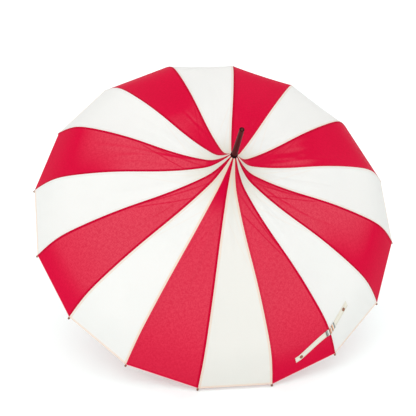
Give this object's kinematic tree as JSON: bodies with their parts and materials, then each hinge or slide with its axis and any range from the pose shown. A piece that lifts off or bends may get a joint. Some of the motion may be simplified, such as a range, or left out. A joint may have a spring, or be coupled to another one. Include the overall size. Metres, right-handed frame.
{
  "type": "stick umbrella",
  "caption": "Stick umbrella with a pagoda-shaped canopy in red and white panels, folding ribs and stretchers on a sliding runner, long ferrule, closure strap and crook handle.",
  "frame": {"origin": "on the shaft axis, at the plane where the round end of the ferrule begins", "axes": "+Z along the shaft and out of the ferrule, +X from the shaft toward the free leg of the crook, +Y by the right hand"},
  "size_m": [0.89, 0.89, 0.8571],
  "materials": {
    "red_cloth": "satin woven cloth",
    "white_cloth": "satin woven cloth",
    "strap_cloth": "narrow woven band",
    "rib_steel": "zinc plated",
    "wire_steel": "drawn wire",
    "shaft_steel": "plated tube",
    "runner_metal": "dark enamel",
    "ferrule_brown": "dark red-brown lacquer",
    "handle_wood": "stained and lacquered",
    "collar_brass": "polished"
  },
  "bodies": {
    "shaft": {"shaft_tube": "shaft_steel", "ferrule": "ferrule_brown", "ferrule_collar": "ferrule_brown", "top_notch": "runner_metal", "notch_wire": "wire_steel", "handle": "handle_wood", "handle_collar": "collar_brass", "panel_01": "white_cloth", "panel_02": "red_cloth", "panel_03": "white_cloth", "panel_04": "red_cloth", "panel_05": "white_cloth", "panel_06": "red_cloth", "panel_07": "white_cloth", "panel_08": "red_cloth", "panel_09": "white_cloth", "panel_10": "red_cloth", "panel_11": "white_cloth", "panel_12": "red_cloth", "panel_13": "white_cloth", "panel_14": "red_cloth", "panel_15": "white_cloth", "panel_16": "red_cloth"},
    "runner": {"runner": "runner_metal", "runner_wire": "wire_steel"},
    "rib_01": {"rib_01": "rib_steel"},
    "stretcher_01": {"stretcher_01": "rib_steel"},
    "rib_02": {"rib_02": "rib_steel"},
    "stretcher_02": {"stretcher_02": "rib_steel"},
    "rib_03": {"rib_03": "rib_steel"},
    "stretcher_03": {"stretcher_03": "rib_steel"},
    "rib_04": {"rib_04": "rib_steel"},
    "stretcher_04": {"stretcher_04": "rib_steel"},
    "rib_05": {"rib_05": "rib_steel"},
    "stretcher_05": {"stretcher_05": "rib_steel"},
    "rib_06": {"rib_06": "rib_steel"},
    "stretcher_06": {"stretcher_06": "rib_steel"},
    "rib_07": {"rib_07": "rib_steel"},
    "stretcher_07": {"stretcher_07": "rib_steel"},
    "rib_08": {"rib_08": "rib_steel"},
    "stretcher_08": {"stretcher_08": "rib_steel"},
    "rib_09": {"rib_09": "rib_steel"},
    "stretcher_09": {"stretcher_09": "rib_steel"},
    "rib_10": {"rib_10": "rib_steel"},
    "stretcher_10": {"stretcher_10": "rib_steel"},
    "rib_11": {"rib_11": "rib_steel"},
    "stretcher_11": {"stretcher_11": "rib_steel"},
    "rib_12": {"rib_12": "rib_steel"},
    "stretcher_12": {"stretcher_12": "rib_steel"},
    "rib_13": {"rib_13": "rib_steel"},
    "stretcher_13": {"stretcher_13": "rib_steel"},
    "rib_14": {"rib_14": "rib_steel"},
    "stretcher_14": {"stretcher_14": "rib_steel"},
    "rib_15": {"rib_15": "rib_steel", "closure_strap": "strap_cloth"},
    "stretcher_15": {"stretcher_15": "rib_steel"},
    "rib_16": {"rib_16": "rib_steel"},
    "stretcher_16": {"stretcher_16": "rib_steel"},
    "top_catch": {"top_catch": "wire_steel"},
    "bottom_catch": {"bottom_catch": "wire_steel"}
  },
  "joints": [
    {"name": "runner_slide", "type": "slide", "parent": "shaft", "child": "runner", "axis": [0, 0, -1], "range_m": [0, 0.21081], "deforming": ["panel_01", "panel_02", "panel_03", "panel_04", "panel_05", "panel_06", "panel_07", "panel_08", "panel_09", "panel_10", "panel_11", "panel_12", "panel_13", "panel_14", "panel_15", "panel_16", "closure_strap"]},
    {"name": "rib_01_fold", "type": "hinge", "parent": "shaft", "child": "rib_01", "pos_m": [0.01275, 0.00254, -0.147], "axis": [-0.1951, 0.9808, 0], "range_deg": [0, 57.02]},
    {"name": "stretcher_01_fold", "type": "hinge", "parent": "rib_01", "child": "stretcher_01", "pos_m": [0.20319, 0.04042, -0.24612], "axis": [-0.1951, 0.9808, 0], "range_deg": [-103.31, 0]},
    {"name": "rib_02_fold", "type": "hinge", "parent": "shaft", "child": "rib_02", "pos_m": [0.01081, 0.00722, -0.147], "axis": [-0.5556, 0.8315, 0], "range_deg": [0, 57.02]},
    {"name": "stretcher_02_fold", "type": "hinge", "parent": "rib_02", "child": "stretcher_02", "pos_m": [0.17226, 0.1151, -0.24612], "axis": [-0.5556, 0.8315, 0], "range_deg": [-103.31, 0]},
    {"name": "rib_03_fold", "type": "hinge", "parent": "shaft", "child": "rib_03", "pos_m": [0.00722, 0.01081, -0.147], "axis": [-0.8315, 0.5556, 0], "range_deg": [0, 57.02]},
    {"name": "stretcher_03_fold", "type": "hinge", "parent": "rib_03", "child": "stretcher_03", "pos_m": [0.1151, 0.17226, -0.24612], "axis": [-0.8315, 0.5556, 0], "range_deg": [-103.31, 0]},
    {"name": "rib_04_fold", "type": "hinge", "parent": "shaft", "child": "rib_04", "pos_m": [0.00254, 0.01275, -0.147], "axis": [-0.9808, 0.1951, 0], "range_deg": [0, 57.02]},
    {"name": "stretcher_04_fold", "type": "hinge", "parent": "rib_04", "child": "stretcher_04", "pos_m": [0.04042, 0.20319, -0.24612], "axis": [-0.9808, 0.1951, 0], "range_deg": [-103.31, 0]},
    {"name": "rib_05_fold", "type": "hinge", "parent": "shaft", "child": "rib_05", "pos_m": [-0.00254, 0.01275, -0.147], "axis": [-0.9808, -0.1951, 0], "range_deg": [0, 57.02]},
    {"name": "stretcher_05_fold", "type": "hinge", "parent": "rib_05", "child": "stretcher_05", "pos_m": [-0.04042, 0.20319, -0.24612], "axis": [-0.9808, -0.1951, 0], "range_deg": [-103.31, 0]},
    {"name": "rib_06_fold", "type": "hinge", "parent": "shaft", "child": "rib_06", "pos_m": [-0.00722, 0.01081, -0.147], "axis": [-0.8315, -0.5556, 0], "range_deg": [0, 57.02]},
    {"name": "stretcher_06_fold", "type": "hinge", "parent": "rib_06", "child": "stretcher_06", "pos_m": [-0.1151, 0.17226, -0.24612], "axis": [-0.8315, -0.5556, 0], "range_deg": [-103.31, 0]},
    {"name": "rib_07_fold", "type": "hinge", "parent": "shaft", "child": "rib_07", "pos_m": [-0.01081, 0.00722, -0.147], "axis": [-0.5556, -0.8315, 0], "range_deg": [0, 57.02]},
    {"name": "stretcher_07_fold", "type": "hinge", "parent": "rib_07", "child": "stretcher_07", "pos_m": [-0.17226, 0.1151, -0.24612], "axis": [-0.5556, -0.8315, 0], "range_deg": [-103.31, 0]},
    {"name": "rib_08_fold", "type": "hinge", "parent": "shaft", "child": "rib_08", "pos_m": [-0.01275, 0.00254, -0.147], "axis": [-0.1951, -0.9808, 0], "range_deg": [0, 57.02]},
    {"name": "stretcher_08_fold", "type": "hinge", "parent": "rib_08", "child": "stretcher_08", "pos_m": [-0.20319, 0.04042, -0.24612], "axis": [-0.1951, -0.9808, 0], "range_deg": [-103.31, 0]},
    {"name": "rib_09_fold", "type": "hinge", "parent": "shaft", "child": "rib_09", "pos_m": [-0.01275, -0.00254, -0.147], "axis": [0.1951, -0.9808, 0], "range_deg": [0, 57.02]},
    {"name": "stretcher_09_fold", "type": "hinge", "parent": "rib_09", "child": "stretcher_09", "pos_m": [-0.20319, -0.04042, -0.24612], "axis": [0.1951, -0.9808, 0], "range_deg": [-103.31, 0]},
    {"name": "rib_10_fold", "type": "hinge", "parent": "shaft", "child": "rib_10", "pos_m": [-0.01081, -0.00722, -0.147], "axis": [0.5556, -0.8315, 0], "range_deg": [0, 57.02]},
    {"name": "stretcher_10_fold", "type": "hinge", "parent": "rib_10", "child": "stretcher_10", "pos_m": [-0.17226, -0.1151, -0.24612], "axis": [0.5556, -0.8315, 0], "range_deg": [-103.31, 0]},
    {"name": "rib_11_fold", "type": "hinge", "parent": "shaft", "child": "rib_11", "pos_m": [-0.00722, -0.01081, -0.147], "axis": [0.8315, -0.5556, 0], "range_deg": [0, 57.02]},
    {"name": "stretcher_11_fold", "type": "hinge", "parent": "rib_11", "child": "stretcher_11", "pos_m": [-0.1151, -0.17226, -0.24612], "axis": [0.8315, -0.5556, 0], "range_deg": [-103.31, 0]},
    {"name": "rib_12_fold", "type": "hinge", "parent": "shaft", "child": "rib_12", "pos_m": [-0.00254, -0.01275, -0.147], "axis": [0.9808, -0.1951, 0], "range_deg": [0, 57.02]},
    {"name": "stretcher_12_fold", "type": "hinge", "parent": "rib_12", "child": "stretcher_12", "pos_m": [-0.04042, -0.20319, -0.24612], "axis": [0.9808, -0.1951, 0], "range_deg": [-103.31, 0]},
    {"name": "rib_13_fold", "type": "hinge", "parent": "shaft", "child": "rib_13", "pos_m": [0.00254, -0.01275, -0.147], "axis": [0.9808, 0.1951, 0], "range_deg": [0, 57.02]},
    {"name": "stretcher_13_fold", "type": "hinge", "parent": "rib_13", "child": "stretcher_13", "pos_m": [0.04042, -0.20319, -0.24612], "axis": [0.9808, 0.1951, 0], "range_deg": [-103.31, 0]},
    {"name": "rib_14_fold", "type": "hinge", "parent": "shaft", "child": "rib_14", "pos_m": [0.00722, -0.01081, -0.147], "axis": [0.8315, 0.5556, 0], "range_deg": [0, 57.02]},
    {"name": "stretcher_14_fold", "type": "hinge", "parent": "rib_14", "child": "stretcher_14", "pos_m": [0.1151, -0.17226, -0.24612], "axis": [0.8315, 0.5556, 0], "range_deg": [-103.31, 0]},
    {"name": "rib_15_fold", "type": "hinge", "parent": "shaft", "child": "rib_15", "pos_m": [0.01081, -0.00722, -0.147], "axis": [0.5556, 0.8315, 0], "range_deg": [0, 57.02]},
    {"name": "stretcher_15_fold", "type": "hinge", "parent": "rib_15", "child": "stretcher_15", "pos_m": [0.17226, -0.1151, -0.24612], "axis": [0.5556, 0.8315, 0], "range_deg": [-103.31, 0]},
    {"name": "rib_16_fold", "type": "hinge", "parent": "shaft", "child": "rib_16", "pos_m": [0.01275, -0.00254, -0.147], "axis": [0.1951, 0.9808, 0], "range_deg": [0, 57.02]},
    {"name": "stretcher_16_fold", "type": "hinge", "parent": "rib_16", "child": "stretcher_16", "pos_m": [0.20319, -0.04042, -0.24612], "axis": [0.1951, 0.9808, 0], "range_deg": [-103.31, 0]},
    {"name": "top_catch_press", "type": "hinge", "parent": "shaft", "child": "top_catch", "pos_m": [0, 0, -0.48624], "axis": [0, -1, 0], "range_deg": [0, 5], "stiffness_Nm_per_rad": 0.6, "springref_deg": -171.89},
    {"name": "bottom_catch_press", "type": "hinge", "parent": "shaft", "child": "bottom_catch", "pos_m": [0, 0, -0.57805], "axis": [0, 1, 0], "range_deg": [0, 5], "stiffness_Nm_per_rad": 0.6, "springref_deg": -171.89}
  ],
  "couplings": [
    {"joint": "rib_01_fold", "follows": "runner_slide", "rad_per_m": 4.7191},
    {"joint": "stretcher_01_fold", "follows": "runner_slide", "rad_per_m": -8.5513},
    {"joint": "rib_02_fold", "follows": "runner_slide", "rad_per_m": 4.7191},
    {"joint": "stretcher_02_fold", "follows": "runner_slide", "rad_per_m": -8.5513},
    {"joint": "rib_03_fold", "follows": "runner_slide", "rad_per_m": 4.7191},
    {"joint": "stretcher_03_fold", "follows": "runner_slide", "rad_per_m": -8.5513},
    {"joint": "rib_04_fold", "follows": "runner_slide", "rad_per_m": 4.7191},
    {"joint": "stretcher_04_fold", "follows": "runner_slide", "rad_per_m": -8.5513},
    {"joint": "rib_05_fold", "follows": "runner_slide", "rad_per_m": 4.7191},
    {"joint": "stretcher_05_fold", "follows": "runner_slide", "rad_per_m": -8.5513},
    {"joint": "rib_06_fold", "follows": "runner_slide", "rad_per_m": 4.7191},
    {"joint": "stretcher_06_fold", "follows": "runner_slide", "rad_per_m": -8.5513},
    {"joint": "rib_07_fold", "follows": "runner_slide", "rad_per_m": 4.7191},
    {"joint": "stretcher_07_fold", "follows": "runner_slide", "rad_per_m": -8.5513},
    {"joint": "rib_08_fold", "follows": "runner_slide", "rad_per_m": 4.7191},
    {"joint": "stretcher_08_fold", "follows": "runner_slide", "rad_per_m": -8.5513},
    {"joint": "rib_09_fold", "follows": "runner_slide", "rad_per_m": 4.7191},
    {"joint": "stretcher_09_fold", "follows": "runner_slide", "rad_per_m": -8.5513},
    {"joint": "rib_10_fold", "follows": "runner_slide", "rad_per_m": 4.7191},
    {"joint": "stretcher_10_fold", "follows": "runner_slide", "rad_per_m": -8.5513},
    {"joint": "rib_11_fold", "follows": "runner_slide", "rad_per_m": 4.7191},
    {"joint": "stretcher_11_fold", "follows": "runner_slide", "rad_per_m": -8.5513},
    {"joint": "rib_12_fold", "follows": "runner_slide", "rad_per_m": 4.7191},
    {"joint": "stretcher_12_fold", "follows": "runner_slide", "rad_per_m": -8.5513},
    {"joint": "rib_13_fold", "follows": "runner_slide", "rad_per_m": 4.7191},
    {"joint": "stretcher_13_fold", "follows": "runner_slide", "rad_per_m": -8.5513},
    {"joint": "rib_14_fold", "follows": "runner_slide", "rad_per_m": 4.7191},
    {"joint": "stretcher_14_fold", "follows": "runner_slide", "rad_per_m": -8.5513},
    {"joint": "rib_15_fold", "follows": "runner_slide", "rad_per_m": 4.7191},
    {"joint": "stretcher_15_fold", "follows": "runner_slide", "rad_per_m": -8.5513},
    {"joint": "rib_16_fold", "follows": "runner_slide", "rad_per_m": 4.7191},
    {"joint": "stretcher_16_fold", "follows": "runner_slide", "rad_per_m": -8.5513}
  ]
}
